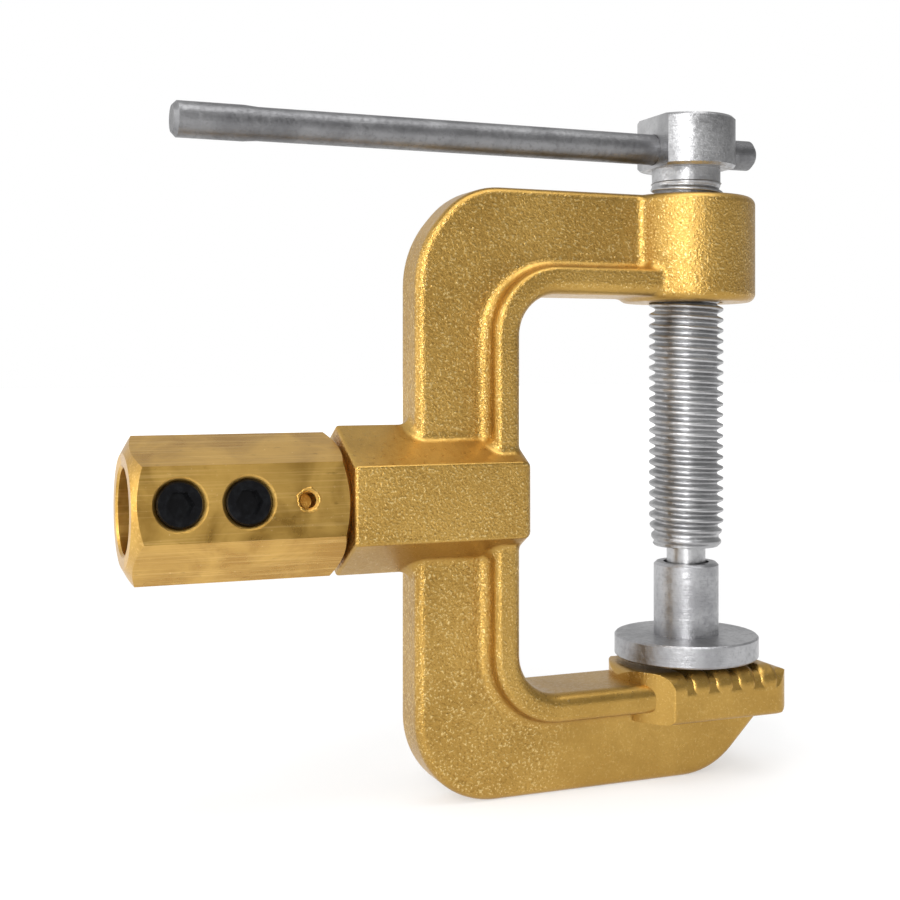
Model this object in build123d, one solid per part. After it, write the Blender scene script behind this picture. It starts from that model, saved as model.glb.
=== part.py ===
from build123d import *

import os
from math import cos, radians, sin, tan

# Welding earth clamp: a cast G-shaped brass frame, a hexagonal cable socket screwed into the
# frame's hub and fitted with two grub screws, and a steel clamping screw with a sliding tommy
# bar above and a swivel pad below.
#
# Frame: millimetres, +Z up along the clamping screw, X along the arms (the spine and the socket
# lie at -X), Y across the web. The origin is on the screw's axis at the height of the anvil's
# clamping face. The jaw is drawn almost closed, with the pad JAW_GAP above the anvil.

# ---- driving dimensions ---------------------------------------------------------------------
SCREW_DIA = 14.0            # M14 clamping screw, 2 mm pitch, drawn as a plain cylinder of its major diameter
JAW_GAP = 1.0               # pad to anvil as drawn
RUNNING = 0.05              # radial clearance of a running fit

# cast frame
SPINE_X = -56.3             # outer face of the spine
THROAT_X = -38.1            # throat face of the spine
WEB_T = 8.8                 # web thickness across Y
RIB_W = 17.0                # width of the rib that lines the throat
RIB_T = 5.0                 # its thickness
TOP_Z = 87.8                # top of the upper arm and of the boss
UNDER_Z = 68.8              # underside of the upper arm
ARM_Z = -2.2                # top of the lower arm
BOTTOM_Z = -20.8            # bottom of the lower arm
TOP_CORNER = ((-56.3, 76.7, 18.0), (-46.8, 87.8, 14.0))     # X, Z and radius of its two bends
BOTTOM_CORNER_R = 15.0
THROAT_R = 7.5              # inner corners of the throat
CAST_R = 1.6                # rounding of the web's cast edges
RIM_R = 2.2                 # rounding of the rib towards the throat
RIB_BACK_R = 1.2            # and towards the web
COVE_R = 2.0                # fillets where rib and boss meet the web
HUB_COVE_R = 1.9            # and where the hub meets it

# boss around the screw
BOSS_R = 12.9
BOSS_BOTTOM_Z = 68.0

# anvil at the end of the lower arm
ANVIL_LEFT_X = -15.0
ANVIL_RIGHT_X = 16.1
ANVIL_HALF_W = 11.0
ANVIL_T = 9.2
ANVIL_ARC_END = (-11.5, 8.5)    # the bowed left end runs to here, X and Y
ANVIL_CUT_END_X = -8.9      # and a flat cut from there to here, at the anvil's side
ANVIL_BOW = 0.3             # how far the right end bows out past ANVIL_RIGHT_X
ANVIL_TOP_R = 3.2           # rounding of the ridge ends and the other top edges along X
ANVIL_LEFT_R = 1.6          # of the left end's top edge
ANVIL_CUT_R = 0.7           # of the upright edges at the left
ANVIL_PLAN_R = 3.5          # of those at the right
ANVIL_LOW_R = 1.2           # of the lower edges
ANVIL_TOE_R = 3.8           # and of the right end's lower edge
LAND_END_X = -6.4           # the smooth land reaches from the left end to here
RIDGE_FIRST_X = -3.1        # first of the gripping ridges that run across the anvil
RIDGE_PITCH = 4.85
RIDGE_COUNT = 4
RIDGE_ROUND_R = 1.6         # round of their backs and of their ends
RIDGE_DEPTH = 0.8           # the ridges stand this high on a core, also at their ends
NOSE_START_X = 3.4          # where the lower arm's bottom edge turns up to the anvil
NOSE_SLOPE = 45.0
NOSE_END_X = 14.2           # below the anvil it ends in a short upright face
NOSE_R = 15.0

# hub and cable socket
HUB_Z = 32.9                # middle of the cast hexagon
HUB_AF = 22.5               # across its flats
HUB_LEFT_X = -69.7
HUB_RIGHT_X = -37.3
HUB_EDGE_R = 0.6            # rounding of its long edges and its left end
HUB_END_R = 2.0             # and of its right end
SOCKET_Z = 32.5             # axis of the socket and of its threaded hole in the hub
SOCKET_MOUTH_X = -105.8
SOCKET_AF = 21.3            # drawn hexagon, across flats
SOCKET_ROLL = 9.5           # degrees between its front flat and the frame, left by its thread
SOCKET_FACE_R = 9.4         # flat left at each end of the hexagon inside its 30 degree chamfer
CABLE_BORE_R = 7.1
CABLE_BORE_END_X = -75.6
MOUTH_CHAMFER = 0.4
SPIGOT_R = 7.95             # M16 spigot that holds the socket in the hub
SPIGOT_HOLE_R = 8.0
HOLE_SPARE = 0.5            # the hole is this much deeper than the spigot is long
SPIGOT_LENGTH = 16.0
SIGHT_HOLE_X = -77.4        # small hole that shows the cable's end
SIGHT_HOLE_R = 1.35
SIGHT_SINK_R = 1.8

# grub screws
GRUB_X = {"outer": -98.3, "inner": -87.2}
GRUB_R = 3.75               # M8, drawn at about the thread's pitch diameter
GRUB_LENGTH = 3.35          # over its point, with its top just below the flat
GRUB_TOP_CHAMFER = 0.25
GRUB_POINT_CHAMFER = 0.8
GRUB_CUP_R = 1.6            # hollow of its point
GRUB_CUP_DEPTH = 0.7
GRUB_KEY_AF = 4.0
GRUB_KEY_DEPTH = 2.0
GRUB_SINK_R = 4.5           # countersink around each threaded hole

# clamping screw
HEAD_R = 9.3
HEAD_FLAT = 7.3             # half width of the head over its two flats
HEAD_BOTTOM_Z = 93.3
HEAD_TOP_Z = 103.0
HEAD_EDGE = 0.5
SHANK_R = 6.45              # plain neck under the head
SHANK_BOTTOM_Z = 90.8
THREAD_BOTTOM_Z = 21.9
THREAD_CHAMFER = 1.1
PILOT_R = 3.65              # pilot that carries the pad
TIP_Z = 4.6                 # lowest point of the pilot's ball end

# tommy bar
BAR_R = 2.85
BAR_Z = 96.75
BAR_LEFT_X = -97.8
BAR_RIGHT_X = 14.4
BAR_SWELL_R = 3.05          # upset grip end
BAR_SWELL_LENGTH = 12.0
BAR_SWELL_TAPER = 2.5
BAR_CHAMFER = 0.75
BAR_HOLE_R = 2.92
EAR_X = 12.4                # an ear staked out of the short end's back keeps the bar in the head
EAR_Y = 2.3
EAR_R = 1.0

# swivel pad and its snap ring
PAD_R = 13.55
PAD_DISC_T = 4.1
PAD_EDGE = 0.3
SLEEVE_R = 6.1
SLEEVE_TOP_Z = 18.8
SLEEVE_EDGE = 0.5
MOUTH_R = 4.3               # lip that the snap ring can't pass
LIP_Z = 15.7
RECESS_R = 5.15             # room for the snap ring while the pad tilts
RECESS_Z = 11.5
CUP_R = 3.72                # guides the ball end
CUP_Z = 8.75
RING_Z = 14.6
RING_WIRE_R = 0.6
RING_MID_R = 4.1
RING_GAP = 1.6              # opening of the split ring
GROOVE_R = 3.4
GROOVE_HALF_H = 0.75

# ---- values that follow from them -----------------------------------------------------------
SCREW_R = SCREW_DIA / 2
WEB_HALF = WEB_T / 2
RIB_HALF = RIB_W / 2
PAD_BOTTOM_Z = JAW_GAP
PAD_FLOOR_Z = TIP_Z - RUNNING
BALL_Z = TIP_Z + PILOT_R    # centre of the ball end, about which the pad swivels
FLAT_OUT = SOCKET_AF / 2    # from the socket's axis to its flats
GRUB_IN = CABLE_BORE_R + RUNNING
ROLL = radians(SOCKET_ROLL)
FLAT_NORMAL = Vector(0, -cos(ROLL), sin(ROLL))  # out of the flat that carries the grub screws
SLACK = 1.0                 # how far cutting tools reach past what they cut


def outline(plane, corners):
    """A closed face in a plane from (u, v, radius) corners, with an arc at each and straight sides."""
    points = [Vector(u, v) for u, v, _ in corners]
    edges, starts, ends = [], [], []
    for i, (_, _, radius) in enumerate(corners):
        here = points[i]
        back = (points[i - 1] - here).normalized()
        ahead = (points[(i + 1) % len(points)] - here).normalized()
        half_angle = radians(back.get_angle(ahead)) / 2
        reach = radius / tan(half_angle)
        starts.append(here + back * reach)
        ends.append(here + ahead * reach)
        if radius > 0:
            middle = here + (back + ahead).normalized() * (radius / sin(half_angle) - radius)
            edges.append(ThreePointArc(starts[i], middle, ends[i]))
    edges += [Line(ends[i], starts[(i + 1) % len(points)]) for i in range(len(points))]
    return plane * make_face(edges)


def prism(face, half):
    """The outline's solid, half as deep to each side of its plane."""
    return extrude(face, amount=half, both=True)


def upright(radius, z_from, z_to):
    """A cylinder on the screw's axis between two heights."""
    return Pos(0, 0, (z_from + z_to) / 2) * Cylinder(radius, z_to - z_from)


def along_x(radius, x_from, x_to, z):
    """A cylinder along X between two stations."""
    return Pos((x_from + x_to) / 2, 0, z) * Rot(0, 90, 0) * Cylinder(radius, x_to - x_from)


def turned(points, axis=Axis.Z):
    """A solid turned about an axis from (radius, z) points in the XZ plane."""
    return revolve(make_face(Polyline(*[(r, 0, z) for r, z in points], close=True)), axis)


def turned_along_x(points, z):
    """A solid turned about an axis along X at height z, from (x, radius) points."""
    face = make_face(Polyline(*[(x, 0, z + r) for x, r in points], close=True))
    return revolve(face, Axis((0, 0, z), (1, 0, 0)))


def hexagon_bar(across_flats, x_from, x_to, z, roll=0.0):
    """A hexagonal bar along X at height z: a flat faces -Y, rolled upwards by some degrees."""
    plane = Plane(origin=(x_from, 0, z), x_dir=(0, 1, 0), z_dir=(1, 0, 0))
    hexagon = RegularPolygon(across_flats / 2, 6, major_radius=False, rotation=30)
    bar = extrude(plane * hexagon, amount=x_to - x_from)
    return bar.rotate(Axis((0, 0, z), (1, 0, 0)), -roll)


def radial(x, tool, distance):
    """A tool drawn up from the origin, stood on the socket's axis along its front flat's normal."""
    origin = Vector(x, 0, SOCKET_Z) + FLAT_NORMAL * distance
    return Plane(origin=origin, x_dir=(1, 0, 0), z_dir=FLAT_NORMAL) * tool


def lies_at_y(edge, y):
    """Whether an edge lies wholly in the plane at y."""
    box = edge.bounding_box()
    return abs(box.min.Y - y) < 1e-4 and abs(box.max.Y - y) < 1e-4


def follows(edge, x, z_low, z_high, radius):
    """Whether an edge is part of the C-shaped line at x, z_low and z_high with rounded corners."""
    middle = edge @ 0.5
    on_arm = abs(middle.Z - z_low) < 1e-3 or abs(middle.Z - z_high) < 1e-3
    at_corner = edge.geom_type == GeomType.CIRCLE and abs(edge.radius - radius) < 1e-3
    return on_arm or at_corner or abs(middle.X - x) < 1e-3


def round_c_line(solid, y, x, z_low, z_high, corner_r, edge_r):
    """Rounds a C-shaped edge line on both sides of the frame, in the planes at y and -y."""
    line = [
        edge
        for edge in solid.edges()
        if (lies_at_y(edge, y) or lies_at_y(edge, -y))
        and follows(edge, x, z_low, z_high, corner_r)
        and edge.bounding_box().min.X < -SLACK
    ]
    return fillet(line, edge_r)


# ---- pieces ---------------------------------------------------------------------------------
def web():
    """The G-shaped web, with its outer edges rounded. Its throat side is sunk into the rib."""
    nose_end_z = BOTTOM_Z + (NOSE_END_X - NOSE_START_X) * tan(radians(NOSE_SLOPE))
    solid = prism(outline(Plane.XZ, [
        (0, TOP_Z, 0),
        *reversed(TOP_CORNER),
        (SPINE_X, BOTTOM_Z, BOTTOM_CORNER_R),
        (NOSE_START_X, BOTTOM_Z, NOSE_R),
        (NOSE_END_X, nose_end_z, 0),
        (NOSE_END_X, SLACK - ANVIL_T, 0),
        (NOSE_START_X, ARM_Z - SLACK, 0),
        (THROAT_X, ARM_Z - SLACK, 0),
        (THROAT_X, UNDER_Z + SLACK, 0),
        (0, UNDER_Z + SLACK, 0),
    ]), WEB_HALF)
    rim = []
    for edge in solid.edges():
        middle = edge @ 0.5
        on_side = lies_at_y(edge, WEB_HALF) or lies_at_y(edge, -WEB_HALF)
        outer = middle.Z > UNDER_Z + 2 * SLACK or middle.Z < -ANVIL_T or middle.X < THROAT_X - SLACK
        upright_end = abs((edge % 0.5).Z) > 0.999 and middle.X > THROAT_X
        if on_side and outer and not upright_end:
            rim.append(edge)
    return fillet(rim, CAST_R)


def rib():
    """The wide rib that lines the throat."""
    back_x, back_r = THROAT_X - RIB_T, THROAT_R + RIB_T
    solid = prism(outline(Plane.XZ, [
        (0, UNDER_Z, 0),
        (THROAT_X, UNDER_Z, THROAT_R),
        (THROAT_X, ARM_Z, THROAT_R),
        (0, ARM_Z, 0),
        (0, ARM_Z - RIB_T, 0),
        (back_x, ARM_Z - RIB_T, back_r),
        (back_x, UNDER_Z + RIB_T, back_r),
        (0, UNDER_Z + RIB_T, 0),
    ]), RIB_HALF)
    solid = round_c_line(solid, RIB_HALF, THROAT_X, ARM_Z, UNDER_Z, THROAT_R, RIM_R)
    return round_c_line(solid, RIB_HALF, back_x, ARM_Z - RIB_T, UNDER_Z + RIB_T, back_r, RIB_BACK_R)


def ridge(x):
    """One gripping ridge: a slab across the anvil whose round back also runs down its rounded ends."""
    slab = prism(outline(Plane.YZ, [
        (-ANVIL_HALF_W, -ANVIL_T / 2, 0),
        (ANVIL_HALF_W, -ANVIL_T / 2, 0),
        (ANVIL_HALF_W, 0, ANVIL_TOP_R),
        (-ANVIL_HALF_W, 0, ANVIL_TOP_R),
    ]), RIDGE_PITCH / 2)
    rim = [
        edge
        for edge in slab.edges()
        if abs((edge % 0.5).X) < 1e-6 and (edge @ 0.5).Z > SLACK - ANVIL_T / 2
    ]
    return Pos(x, 0, 0) * fillet(rim, RIDGE_ROUND_R)


def anvil():
    """The lower jaw: a smooth land with cut corners at the left, then ridges on a lower core."""
    tip_x = ANVIL_RIGHT_X + ANVIL_BOW
    arc_x, arc_y = ANVIL_ARC_END
    plan = prism(make_face([
        ThreePointArc((arc_x, -arc_y), (ANVIL_LEFT_X, 0), (arc_x, arc_y)),
        Line((arc_x, arc_y), (ANVIL_CUT_END_X, ANVIL_HALF_W)),
        Line((ANVIL_CUT_END_X, ANVIL_HALF_W), (ANVIL_RIGHT_X, ANVIL_HALF_W)),
        ThreePointArc((ANVIL_RIGHT_X, ANVIL_HALF_W), (tip_x, 0), (ANVIL_RIGHT_X, -ANVIL_HALF_W)),
        Line((ANVIL_RIGHT_X, -ANVIL_HALF_W), (ANVIL_CUT_END_X, -ANVIL_HALF_W)),
        Line((ANVIL_CUT_END_X, -ANVIL_HALF_W), (arc_x, -arc_y)),
    ]), 2 * ANVIL_T)
    uprights = plan.edges().filter_by(Axis.Z)
    plan = fillet([edge for edge in uprights if (edge @ 0.5).X > 0], ANVIL_PLAN_R)
    uprights = plan.edges().filter_by(Axis.Z)
    plan = fillet([edge for edge in uprights if (edge @ 0.5).X < ANVIL_CUT_END_X + SLACK], ANVIL_CUT_R)
    land = prism(outline(Plane.YZ, [
        (-ANVIL_HALF_W, -ANVIL_T, ANVIL_LOW_R),
        (ANVIL_HALF_W, -ANVIL_T, ANVIL_LOW_R),
        (ANVIL_HALF_W, 0, ANVIL_TOP_R),
        (-ANVIL_HALF_W, 0, ANVIL_TOP_R),
    ]), 2 * ANVIL_RIGHT_X)
    land &= prism(outline(Plane.XZ, [
        (ANVIL_LEFT_X, 0, ANVIL_LEFT_R),
        (ANVIL_LEFT_X, -ANVIL_T, ANVIL_LOW_R),
        (LAND_END_X, -ANVIL_T, 0),
        (LAND_END_X, 0, 0.6),
    ]), 2 * ANVIL_HALF_W)
    core = prism(outline(Plane.YZ, [
        (-ANVIL_HALF_W, -ANVIL_T, ANVIL_LOW_R),
        (ANVIL_HALF_W, -ANVIL_T, ANVIL_LOW_R),
        (ANVIL_HALF_W, -ANVIL_TOP_R - RIDGE_DEPTH, 2),
        (ANVIL_HALF_W - RIDGE_DEPTH, -RIDGE_DEPTH, 2),
        (RIDGE_DEPTH - ANVIL_HALF_W, -RIDGE_DEPTH, 2),
        (-ANVIL_HALF_W, -ANVIL_TOP_R - RIDGE_DEPTH, 2),
    ]), 2 * ANVIL_RIGHT_X)
    core &= prism(outline(Plane.XZ, [
        (LAND_END_X - SLACK, -ANVIL_T, 0),
        (tip_x, -ANVIL_T, ANVIL_TOE_R),
        (tip_x, -RIDGE_DEPTH, 2),
        (LAND_END_X - SLACK, -RIDGE_DEPTH, 0),
    ]), 2 * ANVIL_HALF_W)
    ridges = [ridge(RIDGE_FIRST_X + i * RIDGE_PITCH) for i in range(RIDGE_COUNT)]
    return (land + core + ridges) & plan


def boss():
    """The cylinder that carries the screw's thread."""
    solid = upright(BOSS_R, BOSS_BOTTOM_Z, TOP_Z)
    return fillet(solid.edges().filter_by(GeomType.CIRCLE), CAST_R)


def hub():
    """The cast hexagon on the spine that the cable socket is screwed into."""
    solid = hexagon_bar(HUB_AF, HUB_LEFT_X, HUB_RIGHT_X, HUB_Z)
    solid = fillet(solid.edges().filter_by(Axis.X), HUB_EDGE_R)
    for x, radius in ((HUB_LEFT_X, HUB_EDGE_R), (HUB_RIGHT_X, HUB_END_R)):
        flat = [edge for edge in solid.edges() if edge.bounding_box().size.X < 1e-4]
        solid = fillet([edge for edge in flat if abs((edge @ 0.5).X - x) < 1e-4], radius)
    return solid


def clamp_frame():
    """The brass casting: web, rib, boss, hub and anvil in one, with its two threaded holes."""
    back_x, back_r = THROAT_X - RIB_T, THROAT_R + RIB_T
    body = web() + rib()
    body = round_c_line(body, WEB_HALF, back_x, ARM_Z - RIB_T, UNDER_Z + RIB_T, back_r, COVE_R)
    body += boss()
    corners = [
        edge
        for edge in body.edges().filter_by(Axis.Z)
        if edge.length > 8
        and (lies_at_y(edge, WEB_HALF) or lies_at_y(edge, -WEB_HALF))
        and (edge @ 0.5).Z > UNDER_Z
    ]
    body = fillet(corners, COVE_R)
    body += anvil()
    body += hub()
    junctions = [
        edge
        for edge in body.edges().filter_by(Axis.X)
        if (lies_at_y(edge, WEB_HALF) or lies_at_y(edge, -WEB_HALF))
        and abs((edge @ 0.5).Z - HUB_Z) < HUB_AF / 2
    ]
    body = fillet(junctions, HUB_COVE_R)
    body -= upright(SCREW_R + RUNNING, BOSS_BOTTOM_Z - SLACK, TOP_Z + SLACK)
    hole_end_x = HUB_LEFT_X + SPIGOT_LENGTH + HOLE_SPARE
    body -= along_x(SPIGOT_HOLE_R, HUB_LEFT_X - SLACK, hole_end_x, SOCKET_Z)
    return body


def countersunk_hole(x, radius, sink_r):
    """The cutting tool for a hole from the socket's front flat to its axis, with a countersink."""
    sink = sink_r - radius
    return radial(x, turned([
        (0, 0),
        (radius, 0),
        (radius, FLAT_OUT - sink),
        (sink_r + SLACK, FLAT_OUT + SLACK),
        (0, FLAT_OUT + SLACK),
    ]), 0)


def cable_socket():
    """The hexagonal brass socket: a cable bore, set screw holes, a sight hole and a spigot."""
    end_slope = (SOCKET_AF - SOCKET_FACE_R) * tan(radians(30))
    blank = hexagon_bar(SOCKET_AF, SOCKET_MOUTH_X, HUB_LEFT_X, SOCKET_Z, SOCKET_ROLL)
    turning = turned_along_x([
        (SOCKET_MOUTH_X, 0),
        (SOCKET_MOUTH_X, SOCKET_FACE_R),
        (SOCKET_MOUTH_X + end_slope, SOCKET_AF),
        (HUB_LEFT_X - end_slope, SOCKET_AF),
        (HUB_LEFT_X, SOCKET_FACE_R),
        (HUB_LEFT_X, 0),
    ], SOCKET_Z)
    body = blank & turning
    body += along_x(SPIGOT_R, HUB_LEFT_X - SLACK, HUB_LEFT_X + SPIGOT_LENGTH, SOCKET_Z)
    body -= turned_along_x([
        (SOCKET_MOUTH_X - SLACK, 0),
        (SOCKET_MOUTH_X - SLACK, CABLE_BORE_R + MOUTH_CHAMFER + SLACK),
        (SOCKET_MOUTH_X + MOUTH_CHAMFER, CABLE_BORE_R),
        (CABLE_BORE_END_X, CABLE_BORE_R),
        (CABLE_BORE_END_X + CABLE_BORE_R * tan(radians(31)), 0),
    ], SOCKET_Z)
    for x in GRUB_X.values():
        body -= countersunk_hole(x, GRUB_R + RUNNING, GRUB_SINK_R)
    return body - countersunk_hole(SIGHT_HOLE_X, SIGHT_HOLE_R, SIGHT_SINK_R)


def grub_screw(x):
    """A cup-pointed grub screw with a hexagon key socket, its point flush with the bore's wall."""
    solid = turned([
        (0, GRUB_CUP_DEPTH),
        (GRUB_CUP_R, 0),
        (GRUB_R - GRUB_POINT_CHAMFER, 0),
        (GRUB_R, GRUB_POINT_CHAMFER),
        (GRUB_R, GRUB_LENGTH - GRUB_TOP_CHAMFER),
        (GRUB_R - GRUB_TOP_CHAMFER, GRUB_LENGTH),
        (0, GRUB_LENGTH),
    ])
    key = extrude(RegularPolygon(GRUB_KEY_AF / 2, 6, major_radius=False), amount=GRUB_KEY_DEPTH + SLACK)
    return radial(x, solid - Pos(0, 0, GRUB_LENGTH - GRUB_KEY_DEPTH) * key, GRUB_IN)


def clamp_screw():
    """The clamping screw: a head with two flats and the bar's hole, a thread and a ball end."""
    head = upright(HEAD_R, HEAD_BOTTOM_Z, HEAD_TOP_Z)
    head &= Pos(0, 0, HEAD_BOTTOM_Z) * Box(2 * HEAD_FLAT, 2 * HEAD_R, 4 * HEAD_R)
    head = chamfer(head.edges().filter_by(GeomType.CIRCLE), HEAD_EDGE)
    body = head + upright(SHANK_R, SHANK_BOTTOM_Z, HEAD_BOTTOM_Z)
    body += turned([
        (0, THREAD_BOTTOM_Z),
        (SCREW_R - THREAD_CHAMFER, THREAD_BOTTOM_Z),
        (SCREW_R, THREAD_BOTTOM_Z + THREAD_CHAMFER),
        (SCREW_R, SHANK_BOTTOM_Z - SCREW_R + SHANK_R),
        (SHANK_R, SHANK_BOTTOM_Z),
        (0, SHANK_BOTTOM_Z),
    ])
    pilot = upright(PILOT_R, BALL_Z, THREAD_BOTTOM_Z) + Pos(0, 0, BALL_Z) * Sphere(PILOT_R)
    groove = upright(PILOT_R + SLACK, RING_Z - GROOVE_HALF_H, RING_Z + GROOVE_HALF_H)
    groove -= upright(GROOVE_R, RING_Z - GROOVE_HALF_H, RING_Z + GROOVE_HALF_H)
    body += pilot - groove
    body -= along_x(BAR_HOLE_R, -HEAD_R, HEAD_R, BAR_Z)
    return body


def tommy_bar():
    """The sliding bar: upset and chamfered at its grip end, with a staked ear at its short end."""
    swell_end = BAR_LEFT_X + BAR_SWELL_LENGTH
    body = turned_along_x([
        (BAR_LEFT_X, 0),
        (BAR_LEFT_X, BAR_SWELL_R - BAR_CHAMFER),
        (BAR_LEFT_X + BAR_CHAMFER, BAR_SWELL_R),
        (swell_end, BAR_SWELL_R),
        (swell_end + BAR_SWELL_TAPER, BAR_R),
        (BAR_RIGHT_X - BAR_CHAMFER, BAR_R),
        (BAR_RIGHT_X, BAR_R - BAR_CHAMFER),
        (BAR_RIGHT_X, 0),
    ], BAR_Z)
    return body + Pos(EAR_X, EAR_Y, BAR_Z) * Sphere(EAR_R)


def swivel_pad():
    """The pad: a disc with a sleeve that is crimped over the pilot and its snap ring."""
    disc_top = PAD_BOTTOM_Z + PAD_DISC_T
    return turned([
        (0, PAD_BOTTOM_Z),
        (PAD_R - PAD_EDGE, PAD_BOTTOM_Z),
        (PAD_R, PAD_BOTTOM_Z + PAD_EDGE),
        (PAD_R, disc_top - PAD_EDGE),
        (PAD_R - PAD_EDGE, disc_top),
        (SLEEVE_R, disc_top),
        (SLEEVE_R, SLEEVE_TOP_Z - SLEEVE_EDGE),
        (SLEEVE_R - SLEEVE_EDGE, SLEEVE_TOP_Z),
        (MOUTH_R, SLEEVE_TOP_Z),
        (MOUTH_R, LIP_Z),
        (RECESS_R, LIP_Z),
        (RECESS_R, RECESS_Z),
        (CUP_R, CUP_Z),
        (CUP_R, PAD_FLOOR_Z),
        (0, PAD_FLOOR_Z),
    ])


def pad_snap_ring():
    """The split wire ring in the pilot's groove that keeps the pad on."""
    ring = Pos(0, 0, RING_Z) * Torus(RING_MID_R, RING_WIRE_R)
    return ring - Pos(0, RING_MID_R, RING_Z) * Box(RING_GAP, 2 * RING_MID_R, 4 * RING_WIRE_R)


def main():
    """Writes one STEP file for each piece."""
    pieces = {
        "clamp_frame": clamp_frame(),
        "cable_socket": cable_socket(),
        "clamp_screw": clamp_screw(),
        "tommy_bar": tommy_bar(),
        "swivel_pad": swivel_pad(),
        "pad_snap_ring": pad_snap_ring(),
    }
    for place, x in GRUB_X.items():
        pieces[f"set_screw_{place}"] = grub_screw(x)
    os.makedirs("parts", exist_ok=True)
    for name, piece in pieces.items():
        export_step(piece, f"parts/{name}.step")


main()
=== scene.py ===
from math import cos, pi, radians, sin

import bmesh
import bpy
from mathutils import Matrix, Vector


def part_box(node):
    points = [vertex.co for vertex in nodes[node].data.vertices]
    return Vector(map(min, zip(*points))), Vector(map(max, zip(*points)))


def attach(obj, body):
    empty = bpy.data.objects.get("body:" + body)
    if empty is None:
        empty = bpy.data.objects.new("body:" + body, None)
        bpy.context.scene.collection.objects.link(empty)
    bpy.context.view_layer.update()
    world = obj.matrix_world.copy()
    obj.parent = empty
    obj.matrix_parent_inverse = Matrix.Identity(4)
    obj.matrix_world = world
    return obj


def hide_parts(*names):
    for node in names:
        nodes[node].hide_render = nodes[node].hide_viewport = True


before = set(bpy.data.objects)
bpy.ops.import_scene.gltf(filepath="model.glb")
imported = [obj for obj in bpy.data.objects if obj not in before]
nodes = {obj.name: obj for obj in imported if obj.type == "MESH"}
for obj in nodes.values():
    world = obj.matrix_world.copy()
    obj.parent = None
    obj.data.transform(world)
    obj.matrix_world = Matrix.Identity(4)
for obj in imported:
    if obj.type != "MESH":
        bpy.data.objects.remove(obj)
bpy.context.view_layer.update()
MM = 0.001

# ---- small helpers -------------------------------------------------------------------------------


def smoothstep(low, high, value):
    t = min(max((value - low) / (high - low), 0.0), 1.0)
    return t * t * (3 - 2 * t)


def piece(name, mesh, body, slot, *replaced):
    """A new object that rides on a body, and hides the CAD nodes named last."""
    obj = bpy.data.objects.new(name, mesh)
    bpy.context.scene.collection.objects.link(obj)
    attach(obj, body)
    if replaced:
        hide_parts(*replaced)
    return obj


def smooth(mesh, degrees=35):
    """Smooth shading, with edges sharper than the angle kept crisp."""
    for poly in mesh.polygons:
        poly.use_smooth = True
    mesh.set_sharp_from_angle(angle=radians(degrees))


def paint(obj, material):
    obj.data.materials.clear()
    obj.data.materials.append(material)


# ---- materials -----------------------------------------------------------------------------------


class Nodes:
    """Builds one procedural material, node by node."""

    def __init__(self, name):
        self.material = bpy.data.materials.new(name)
        self.material.use_nodes = True
        self.tree = self.material.node_tree
        self.shader = self.tree.nodes["Principled BSDF"]
        self.place = self.add("ShaderNodeTexCoord").outputs["Object"]

    def add(self, kind, **values):
        node = self.tree.nodes.new(kind)
        for key, value in values.items():
            setattr(node, key, value)
        return node

    def link(self, source, target):
        self.tree.links.new(source, target)

    def stretched(self, scale):
        """The object's own coordinates, scaled along each axis."""
        mapping = self.add("ShaderNodeMapping")
        mapping.inputs["Scale"].default_value = scale
        self.link(self.place, mapping.inputs["Vector"])
        return mapping.outputs["Vector"]

    def noise(self, scale, detail=2.0, rough=0.5, vector=None, distortion=0.0):
        node = self.add("ShaderNodeTexNoise")
        node.inputs["Scale"].default_value = scale
        node.inputs["Detail"].default_value = detail
        node.inputs["Roughness"].default_value = rough
        node.inputs["Distortion"].default_value = distortion
        self.link(vector or self.place, node.inputs["Vector"])
        return node.outputs["Fac"]

    def remap(self, value, low, high, to_low=0.0, to_high=1.0):
        node = self.add("ShaderNodeMapRange", interpolation_type="SMOOTHSTEP")
        for key, number in zip(("From Min", "From Max", "To Min", "To Max"), (low, high, to_low, to_high)):
            node.inputs[key].default_value = number
        self.link(value, node.inputs["Value"])
        return node.outputs["Result"]

    def math(self, operation, a, b):
        node = self.add("ShaderNodeMath", operation=operation)
        for socket, value in zip(node.inputs, (a, b)):
            if isinstance(value, (int, float)):
                socket.default_value = value
            else:
                self.link(value, socket)
        return node.outputs["Value"]

    def mix(self, factor, a, b):
        node = self.add("ShaderNodeMix", data_type="RGBA")
        self.link(factor, node.inputs[0])
        for socket, value in ((node.inputs[6], a), (node.inputs[7], b)):
            if isinstance(value, tuple):
                socket.default_value = (*value, 1.0)
            else:
                self.link(value, socket)
        return node.outputs[2]

    def bump(self, height, strength, distance, below=None):
        node = self.add("ShaderNodeBump")
        node.inputs["Distance"].default_value = distance
        if isinstance(strength, float):
            node.inputs["Strength"].default_value = strength
        else:
            self.link(strength, node.inputs["Strength"])
        self.link(height, node.inputs["Height"])
        if below is not None:
            self.link(below, node.inputs["Normal"])
        return node.outputs["Normal"]

    def axis(self, name):
        split = self.add("ShaderNodeSeparateXYZ")
        self.link(self.place, split.inputs[0])
        return split.outputs[name]

    def facing(self, name):
        """One component of the surface's own normal."""
        split = self.add("ShaderNodeSeparateXYZ")
        self.link(self.add("ShaderNodeNewGeometry").outputs["Normal"], split.inputs[0])
        return split.outputs[name]

    def gloss(self, weight, roughness, normal):
        """A thin clear film over the metal."""
        self.shader.inputs["Coat Weight"].default_value = weight
        self.shader.inputs["Coat Roughness"].default_value = roughness
        self.link(normal, self.shader.inputs["Coat Normal"])

    def finish(self, color, roughness, normal, metallic=1.0):
        self.shader.inputs["Metallic"].default_value = metallic
        self.link(color, self.shader.inputs["Base Color"])
        self.link(roughness, self.shader.inputs["Roughness"])
        self.link(normal, self.shader.inputs["Normal"])
        return self.material


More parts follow.
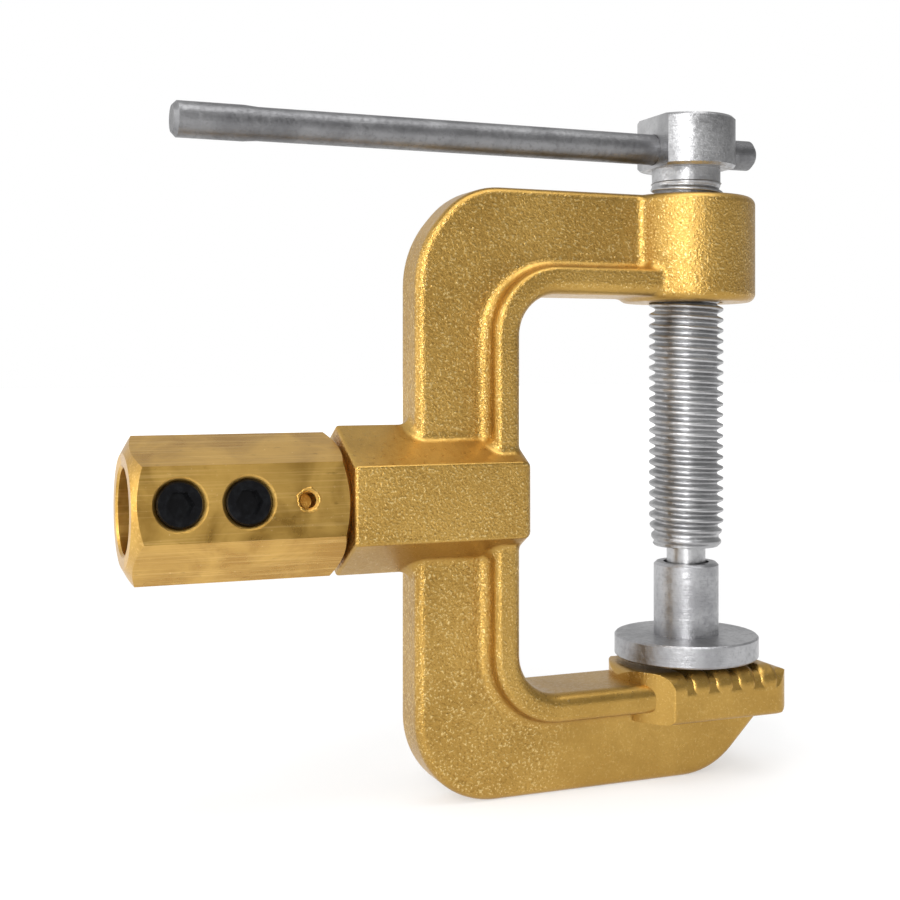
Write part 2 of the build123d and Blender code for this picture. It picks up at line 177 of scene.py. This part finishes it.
def cast_brass():
    """Tumbled cast brass: a fine skin with bright and dark grains, smooth on slopes and the lower arm."""
    m = Nodes("cast_brass")
    grain = m.noise(2600, 2.0, 0.55)
    skin = m.noise(1300, 3.0, 0.6)
    blotch = m.noise(60, 3.0, 0.55)
    slope = m.remap(m.math("ABSOLUTE", m.facing("Z"), 0.0), 0.3, 0.6)
    arm = m.math("MULTIPLY", m.remap(m.axis("X"), -36 * MM, -24 * MM), m.remap(m.axis("Z"), 1 * MM, -3 * MM))
    smooth_cast = m.math("MAXIMUM", slope, m.math("MULTIPLY", arm, 0.95))
    cast = m.math("SUBTRACT", 1.0, m.math("MULTIPLY", smooth_cast, 0.85))
    base = m.mix(m.remap(blotch, 0.3, 0.7), (0.40, 0.235, 0.052), (0.50, 0.305, 0.075))
    bright = m.math("MULTIPLY", m.remap(grain, 0.56, 0.7, 0.0, 0.6), cast)
    dark = m.math("MULTIPLY", m.remap(grain, 0.44, 0.3, 0.0, 0.5), cast)
    color = m.mix(dark, m.mix(bright, base, (0.95, 0.74, 0.34)), (0.2, 0.1, 0.018))
    roughness = m.remap(skin, 0.35, 0.7, 0.4, 0.27)
    normal = m.bump(skin, m.math("MULTIPLY", cast, 0.5), 0.0002)
    normal = m.bump(grain, m.math("MULTIPLY", cast, 0.6), 0.00016, normal)
    m.gloss(0.06, 0.2, normal)
    return m.finish(color, roughness, normal, 0.92)


def drawn_brass():
    """Bright drawn bar: fine lines along X, scratches, dark specks, and slight tarnish."""
    m = Nodes("drawn_brass")
    lines = m.noise(1.0, 4.0, 0.6, m.stretched((45, 2400, 2400)))
    tarnish = m.noise(95, 4.0, 0.6, distortion=0.6)
    scuff = m.noise(1.0, 3.0, 0.6, m.stretched((420, 1500, 1500)))
    speck = m.noise(1500, 2.0, 0.5)
    color = m.mix(m.remap(tarnish, 0.3, 0.72), (0.45, 0.245, 0.048), (0.66, 0.405, 0.105))
    color = m.mix(m.remap(lines, 0.5, 0.72, 0.0, 0.5), color, (0.86, 0.58, 0.2))
    color = m.mix(m.remap(scuff, 0.62, 0.76, 0.0, 0.5), color, (0.28, 0.15, 0.03))
    color = m.mix(m.remap(speck, 0.7, 0.8, 0.0, 0.5), color, (0.95, 0.72, 0.34))
    roughness = m.remap(tarnish, 0.3, 0.7, 0.24, 0.38)
    normal = m.bump(lines, 0.35, 0.00008)
    normal = m.bump(scuff, 0.25, 0.0001, normal)
    ripple = m.bump(m.noise(240, 2.0, 0.5), 0.12, 0.0002, normal)
    return m.finish(color, roughness, ripple)


def black_oxide():
    m = Nodes("black_oxide")
    wear = m.noise(900, 3.0, 0.6)
    color = m.mix(m.remap(wear, 0.4, 0.75), (0.003, 0.003, 0.004), (0.01, 0.011, 0.013))
    roughness = m.remap(wear, 0.3, 0.7, 0.06, 0.14)
    return m.finish(color, roughness, m.bump(wear, 0.06, 0.00004), 0.5)


def plated_steel(name, dark, light, lines_scale, rough_low, rough_high, line_strength=0.3):
    """Dull zinc plate over machined steel, with lines in one direction and pits in its shine."""
    m = Nodes(name)
    cloud = m.noise(110, 4.0, 0.6)
    lines = m.noise(1.0, 3.0, 0.6, m.stretched(lines_scale))
    pit = m.noise(1300, 3.0, 0.6)
    shade = m.mix(m.remap(cloud, 0.3, 0.7), dark, light)
    color = m.mix(m.remap(pit, 0.5, 0.72, 0.0, 0.5), shade, dark)
    roughness = m.remap(pit, 0.35, 0.7, rough_low, rough_high)
    normal = m.bump(lines, line_strength, 0.0001)
    normal = m.bump(pit, 0.5, 0.00012, normal)
    return m.finish(color, roughness, normal)


# How finely the tool marks are drawn out along X, Y and Z.
AROUND_SCREW = (300, 300, 2200)
AROUND_PAD = (150, 150, 1900)
ALONG_BAR = (90, 1600, 1600)
TURNED = 0.6                # depth of the pad's turning marks

BRASS = cast_brass()
SOCKET = drawn_brass()
BLACK = black_oxide()
SCREW_STEEL = plated_steel(
    "screw_steel", (0.33, 0.33, 0.335), (0.52, 0.52, 0.525), AROUND_SCREW, 0.3, 0.46)
BAR_STEEL = plated_steel(
    "bar_steel", (0.15, 0.15, 0.155), (0.26, 0.26, 0.265), ALONG_BAR, 0.38, 0.52)
PAD_STEEL = plated_steel(
    "pad_steel", (0.30, 0.30, 0.31), (0.48, 0.48, 0.49), AROUND_PAD, 0.34, 0.48, TURNED)

for name, material in {
    "clamp_frame": BRASS,
    "cable_socket": SOCKET,
    "set_screw_outer": BLACK,
    "set_screw_inner": BLACK,
    "tommy_bar": BAR_STEEL,
    "swivel_pad": PAD_STEEL,
    "pad_snap_ring": SCREW_STEEL,
}.items():
    paint(nodes[name], material)

# ---- clamping screw ------------------------------------------------------------------------------

PITCH = 2.0 * MM
CREST_R = 7.0 * MM
ROOT_R = 5.85 * MM
THREAD_BOTTOM = 21.9 * MM
THREAD_TOP = 90.8 * MM
LEAD = 1.53 * MM            # height of a groove's bottom over a whole number of pitches, at +X
FADE_LENGTH = 2.4 * MM
SHANK_R = 6.45 * MM
END_R = 6.0 * MM            # at the lower end's chamfer
FLANK = (0.12, 0.86)        # where the flank starts and ends, from the root at 0 to the crest at 1
WORN_BELOW = 27 * MM        # the last turns are flattened by wear
WORN_FADE = 3.5 * MM        # the wear comes in over this height
WORN_ROOT = 0.25 * MM
WORN_CREST = 0.4 * MM
LAP = 0.2 * MM              # the head and the pilot reach this far into the thread


def thread_radius(phase, z):
    """The thread's radius at a phase of its pitch: it fades out at the neck, and is worn below."""
    from_crest = abs(phase - 0.5) * 2
    depth = smoothstep(*FLANK, 1 - from_crest)
    worn = 1 - smoothstep(WORN_BELOW - WORN_FADE, WORN_BELOW, z)
    fade = smoothstep(THREAD_TOP - FADE_LENGTH, THREAD_TOP - LAP, z)
    root = ROOT_R + WORN_ROOT * worn
    root = root + (SHANK_R - root) * fade
    crest = CREST_R - WORN_CREST * worn
    crest = crest + (SHANK_R - crest) * fade
    chamfer = END_R + max(z - THREAD_BOTTOM, 0.0)
    return min(root + (crest - root) * depth, chamfer)


def cut_level(bm, height, up):
    """Cuts away what lies past a level, upwards or downwards, and gives the edges of the cut."""
    cut = bmesh.ops.bisect_plane(
        bm, geom=bm.verts[:] + bm.edges[:] + bm.faces[:], plane_co=(0, 0, height),
        plane_no=(0, 0, up), clear_outer=True)
    return [edge for edge in cut["geom_cut"] if isinstance(edge, bmesh.types.BMEdge)]


def thread_mesh():
    """A left-hand helical thread, cut off square at both ends."""
    steps, rows = 96, 14
    # The rows run more than a turn past both ends, and the cuts take that off.
    first = int((THREAD_BOTTOM - 2 * PITCH) / PITCH)
    turns = int((THREAD_TOP - THREAD_BOTTOM) / PITCH) + 5
    bm = bmesh.new()
    columns = []
    for j in range(steps):
        angle = 2 * pi * j / steps
        column = []
        for i in range(turns * rows):
            z = (first + i / rows - j / steps) * PITCH + LEAD
            r = thread_radius((i % rows) / rows, z)
            column.append(bm.verts.new((r * cos(angle), r * sin(angle), z)))
        columns.append(column)
    for j in range(steps):
        here, there = columns[j], columns[(j + 1) % steps]
        step = rows if j == steps - 1 else 0
        for i in range(turns * rows - 1):
            if 0 <= i - step and i + 1 - step < len(there):
                bm.faces.new((here[i], there[i - step], there[i + 1 - step], here[i + 1]))
    for height, up in ((THREAD_BOTTOM, -1), (THREAD_TOP, 1)):
        bmesh.ops.contextual_create(bm, geom=cut_level(bm, height, up))
    bmesh.ops.recalc_face_normals(bm, faces=bm.faces[:])
    mesh = bpy.data.meshes.new("screw_thread")
    bm.to_mesh(mesh)
    bm.free()
    smooth(mesh, 50)
    return mesh


def part_of(node, low, high, name):
    """A closed copy of a CAD node's mesh between two heights."""
    bm = bmesh.new()
    bm.from_mesh(nodes[node].data)
    bmesh.ops.remove_doubles(bm, verts=bm.verts[:], dist=1e-7)
    for height, up in ((low, -1), (high, 1)):
        rim = cut_level(bm, height, up)
        if rim:
            bmesh.ops.holes_fill(bm, edges=rim)
    bmesh.ops.recalc_face_normals(bm, faces=bm.faces[:])
    bm.verts.index_update()
    mesh = bpy.data.meshes.new(name)
    mesh.from_pydata([v.co[:] for v in bm.verts], [], [[v.index for v in f.verts] for f in bm.faces])
    bm.free()
    smooth(mesh, 30)
    return mesh


screw_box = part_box("clamp_screw")
screw_parts = {
    "screw_thread": thread_mesh(),
    "screw_head": part_of("clamp_screw", THREAD_TOP - LAP, screw_box[1].z + LAP, "screw_head"),
    "screw_pilot": part_of("clamp_screw", screw_box[0].z - LAP, THREAD_BOTTOM + LAP, "screw_pilot"),
}
for name, mesh in screw_parts.items():
    paint(piece(name, mesh, "screw", "plated_steel", "clamp_screw"), SCREW_STEEL)

# ---- burr around the sight hole ------------------------------------------------------------------

SIGHT_X = -77.4 * MM
SOCKET_Z = 32.5 * MM
FLAT_OUT = 10.65 * MM       # from the socket's middle to its flats
ROLL = radians(9.5)         # the socket's flats lean by this
BURR_R = 1.84 * MM
BURR_THICK = 0.2 * MM
RAGGED = 0.05 * MM
FLATTENED = 0.6             # the burr's height over its width


def burr_mesh():
    """A ragged ring of raised metal around the hole in the socket's front flat."""
    around, across = 72, 10
    bm = bmesh.new()
    rings = []
    for i in range(around):
        a = 2 * pi * i / around
        ragged = sin(5 * a + 0.6) + 0.7 * sin(9 * a + 2.1) + 0.5 * sin(17 * a + 4.0)
        middle = BURR_R + RAGGED * ragged
        thick = BURR_THICK + RAGGED * ragged
        ring = []
        for j in range(across):
            b = 2 * pi * j / across
            r = middle + thick * cos(b)
            ring.append(bm.verts.new((r * cos(a), -FLAT_OUT - FLATTENED * thick * sin(b), r * sin(a))))
        rings.append(ring)
    for i in range(around):
        here, there = rings[i], rings[(i + 1) % around]
        for j in range(across):
            k = (j + 1) % across
            bm.faces.new((here[j], there[j], there[k], here[k]))
    turn = Matrix.Rotation(-ROLL, 4, "X")
    for vert in bm.verts:
        vert.co = turn @ vert.co + Vector((SIGHT_X, 0, SOCKET_Z))
    bmesh.ops.recalc_face_normals(bm, faces=bm.faces[:])
    mesh = bpy.data.meshes.new("sight_hole_burr")
    bm.to_mesh(mesh)
    bm.free()
    smooth(mesh, 60)
    return mesh


burr = piece("sight_hole_burr", burr_mesh(), "frame", "drawn_brass")
paint(burr, SOCKET)

# ---- studio --------------------------------------------------------------------------------------

FLOOR_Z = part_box("clamp_frame")[0].z
ROOM_DIRECTION = (0.8, -0.6, 0.0)


def floor():
    """A wide pale floor under the object."""
    bm = bmesh.new()
    bmesh.ops.create_grid(bm, x_segments=8, y_segments=8, size=4.0)
    bmesh.ops.translate(bm, verts=bm.verts[:], vec=(0, 0, FLOOR_Z))
    mesh = bpy.data.meshes.new("floor")
    bm.to_mesh(mesh)
    bm.free()
    obj = bpy.data.objects.new("floor", mesh)
    bpy.context.scene.collection.objects.link(obj)
    m = Nodes("floor_paper")
    color = m.mix(m.noise(9, 2.0), (0.44, 0.44, 0.44), (0.47, 0.47, 0.47))
    roughness = m.remap(m.noise(40), 0.3, 0.7, 0.75, 0.85)
    # The floor glows, from 0.5 near the middle to 0.9 towards its edges: painted light that fades it into
    # the white backdrop and also lights the object from below.
    far = m.add("ShaderNodeVectorMath", operation="LENGTH")
    m.link(m.place, far.inputs[0])
    m.shader.inputs["Emission Color"].default_value = (1, 1, 1, 1)
    m.link(m.remap(far.outputs["Value"], 0.1, 1.2, 0.5, 0.9), m.shader.inputs["Emission Strength"])
    paint(obj, m.finish(color, roughness, m.bump(m.noise(900), 0.05, 0.0001), 0.0))


def softbox(name, azimuth, elevation, distance, size, power, color=(1, 1, 1), target=(-0.045, 0, 0.045)):
    light = bpy.data.lights.new(name, "AREA")
    light.shape = "RECTANGLE"
    light.size, light.size_y = size
    light.energy = power
    light.color = color
    obj = bpy.data.objects.new(name, light)
    bpy.context.scene.collection.objects.link(obj)
    a, e = radians(azimuth), radians(elevation)
    back = Vector((sin(a) * cos(e), -cos(a) * cos(e), sin(e)))
    obj.location = Vector(target) + back * distance
    obj.rotation_euler = (-back).to_track_quat("-Z", "Y").to_euler()


def studio_world():
    """White behind the object, and darker towards the room that the front faces reflect."""
    world = bpy.data.worlds.new("studio")
    bpy.context.scene.world = world
    world.use_nodes = True
    tree = world.node_tree
    background = tree.nodes["Background"]
    coords = tree.nodes.new("ShaderNodeTexCoord")
    turn = tree.nodes.new("ShaderNodeVectorMath")
    turn.operation = "DOT_PRODUCT"
    turn.inputs[1].default_value = ROOM_DIRECTION
    ramp = tree.nodes.new("ShaderNodeMapRange")
    seen = tree.nodes.new("ShaderNodeLightPath")
    pick = tree.nodes.new("ShaderNodeMix")
    tree.links.new(coords.outputs["Generated"], turn.inputs[0])
    tree.links.new(turn.outputs["Value"], ramp.inputs["Value"])
    for key, number in zip(("From Min", "From Max", "To Min", "To Max"), (-0.8, 0.9, 0.9, 0.3)):
        ramp.inputs[key].default_value = number
    tree.links.new(seen.outputs["Is Camera Ray"], pick.inputs[0])
    tree.links.new(ramp.outputs["Result"], pick.inputs[2])
    pick.inputs[3].default_value = 1.0
    tree.links.new(pick.outputs[0], background.inputs["Strength"])
    background.inputs["Color"].default_value = (1, 1, 1, 1)


floor()
studio_world()
softbox("key", -45, 35, 0.8, (0.42, 0.42), 2.4)
softbox("front_strip", -29, 5, 0.75, (0.09, 0.7), 3.6)
softbox("left", -100, 12, 0.8, (0.4, 0.7), 2.0)
softbox("top", 10, 75, 0.8, (0.7, 0.5), 3)

# ---- camera --------------------------------------------------------------------------------------

camera = bpy.data.cameras.new("camera")
camera.lens = 55.22
camera.sensor_width = 36
camera.shift_y = -0.0966
camera.clip_start = 0.01
camera_object = bpy.data.objects.new("camera", camera)
camera_object.location = (-139.7 * MM, -227.6 * MM, 56.55 * MM)
camera_object.rotation_euler = (radians(90), 0, radians(-21.84))
bpy.context.scene.collection.objects.link(camera_object)
bpy.context.scene.camera = camera_object
bpy.context.scene.view_settings.view_transform = "Standard"
